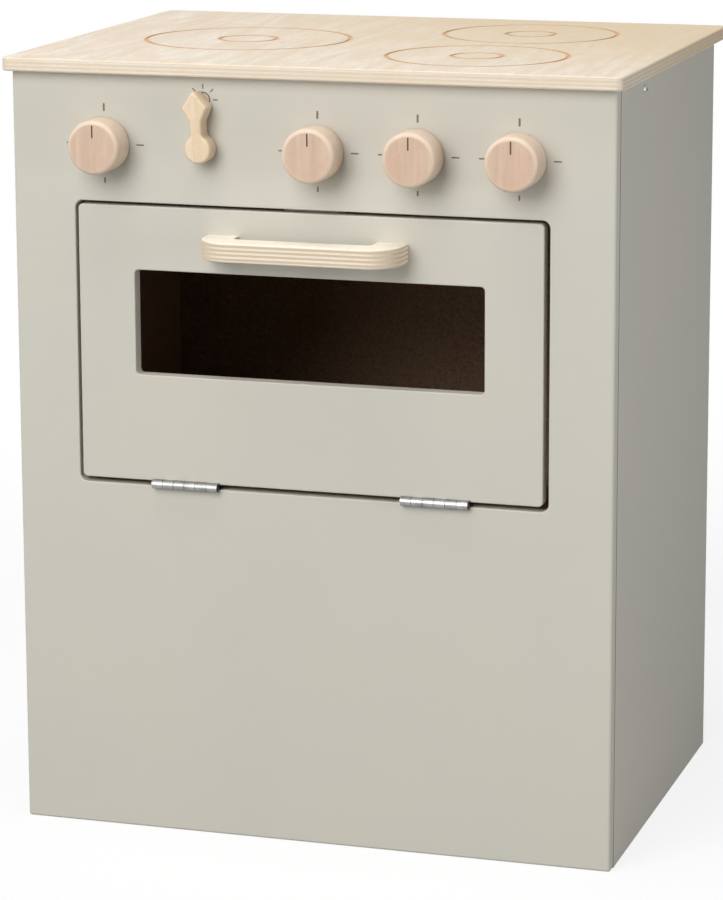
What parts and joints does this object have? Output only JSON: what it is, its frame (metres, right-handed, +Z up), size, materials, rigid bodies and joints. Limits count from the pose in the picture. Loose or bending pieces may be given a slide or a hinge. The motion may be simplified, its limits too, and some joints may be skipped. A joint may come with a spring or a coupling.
{
  "type": "play kitchen",
  "caption": "Toy wooden stove: painted board cabinet with a drop-down oven door and window, plywood worktop with engraved hobs, wooden knobs, a pointer switch and a bow handle.",
  "frame": {"origin": "on the floor, under the middle of the whole object's bounding box", "axes": "+Z up, the front faces -Y, +X to the cook's right"},
  "size_m": [0.4, 0.327, 0.498],
  "materials": {
    "painted_board": "satin greige paint on medium-density board",
    "raw_board": "raw medium-density board",
    "birch_plywood": "clear-lacquered birch plywood",
    "beech": "turned beech, clear satin",
    "softwood": "planed, unfinished",
    "bright_steel": "bright zinc-plated steel",
    "catch_plastic": "moulded, off-white",
    "printed_ink": "screen-printed marks on the paint, dark brown-grey",
    "ferrite": "sintered magnet, dark grey"
  },
  "bodies": {
    "cabinet": {"worktop": "birch_plywood", "front_panel": "painted_board", "side_panel_left": "painted_board", "side_panel_right": "painted_board", "back_panel": "painted_board", "base_panel": "raw_board", "oven_floor": "raw_board", "oven_ceiling": "raw_board", "front_rail": "softwood", "rear_rail": "softwood", "front_dowels": "softwood", "rail_screws": "bright_steel", "worktop_screws": "bright_steel", "back_screws": "bright_steel", "hinge_left_fixed_leaf": "bright_steel", "hinge_left_pin": "bright_steel", "hinge_right_fixed_leaf": "bright_steel", "hinge_right_pin": "bright_steel", "hinge_screws_fixed": "bright_steel", "catch_housing": "catch_plastic", "catch_magnet": "ferrite", "catch_screws": "bright_steel"},
    "door": {"door_panel": "painted_board", "door_handle": "birch_plywood", "handle_screws": "bright_steel", "strike_plate": "bright_steel", "strike_screws": "bright_steel", "hinge_left_door_leaf": "bright_steel", "hinge_right_door_leaf": "bright_steel", "hinge_screws_door": "bright_steel"},
    "turning_knob_1": {"knob_1": "beech", "knob_1_spindle": "softwood", "knob_1_washer": "bright_steel", "knob_1_screw": "bright_steel"},
    "turning_knob_2": {"knob_2": "beech", "knob_2_spindle": "softwood", "knob_2_washer": "bright_steel", "knob_2_screw": "bright_steel"},
    "turning_knob_3": {"knob_3": "beech", "knob_3_spindle": "softwood", "knob_3_washer": "bright_steel", "knob_3_screw": "bright_steel"},
    "turning_knob_4": {"knob_4": "beech", "knob_4_spindle": "softwood", "knob_4_washer": "bright_steel", "knob_4_screw": "bright_steel"},
    "turning_pointer": {"pointer": "birch_plywood", "pointer_spindle": "softwood", "pointer_spacer": "catch_plastic", "pointer_washer": "bright_steel", "pointer_screw": "bright_steel"}
  },
  "joints": [
    {"name": "door_hinge", "type": "hinge", "parent": "cabinet", "child": "door", "pos_m": [0, -0.137, 0.2291], "axis": [1, 0, 0], "range_deg": [0, 170]},
    {"name": "knob_1_turn", "type": "hinge", "parent": "cabinet", "child": "turning_knob_1", "pos_m": [-0.1335, -0.1345, 0.445], "axis": [0, 1, 0], "continuous": true},
    {"name": "knob_2_turn", "type": "hinge", "parent": "cabinet", "child": "turning_knob_2", "pos_m": [0.0066, -0.1345, 0.445], "axis": [0, 1, 0], "continuous": true},
    {"name": "knob_3_turn", "type": "hinge", "parent": "cabinet", "child": "turning_knob_3", "pos_m": [0.0706, -0.1345, 0.445], "axis": [0, 1, 0], "continuous": true},
    {"name": "knob_4_turn", "type": "hinge", "parent": "cabinet", "child": "turning_knob_4", "pos_m": [0.1346, -0.1345, 0.445], "axis": [0, 1, 0], "continuous": true},
    {"name": "pointer_turn", "type": "hinge", "parent": "cabinet", "child": "turning_pointer", "pos_m": [-0.0677, -0.1345, 0.445], "axis": [0, 1, 0], "continuous": true}
  ]
}
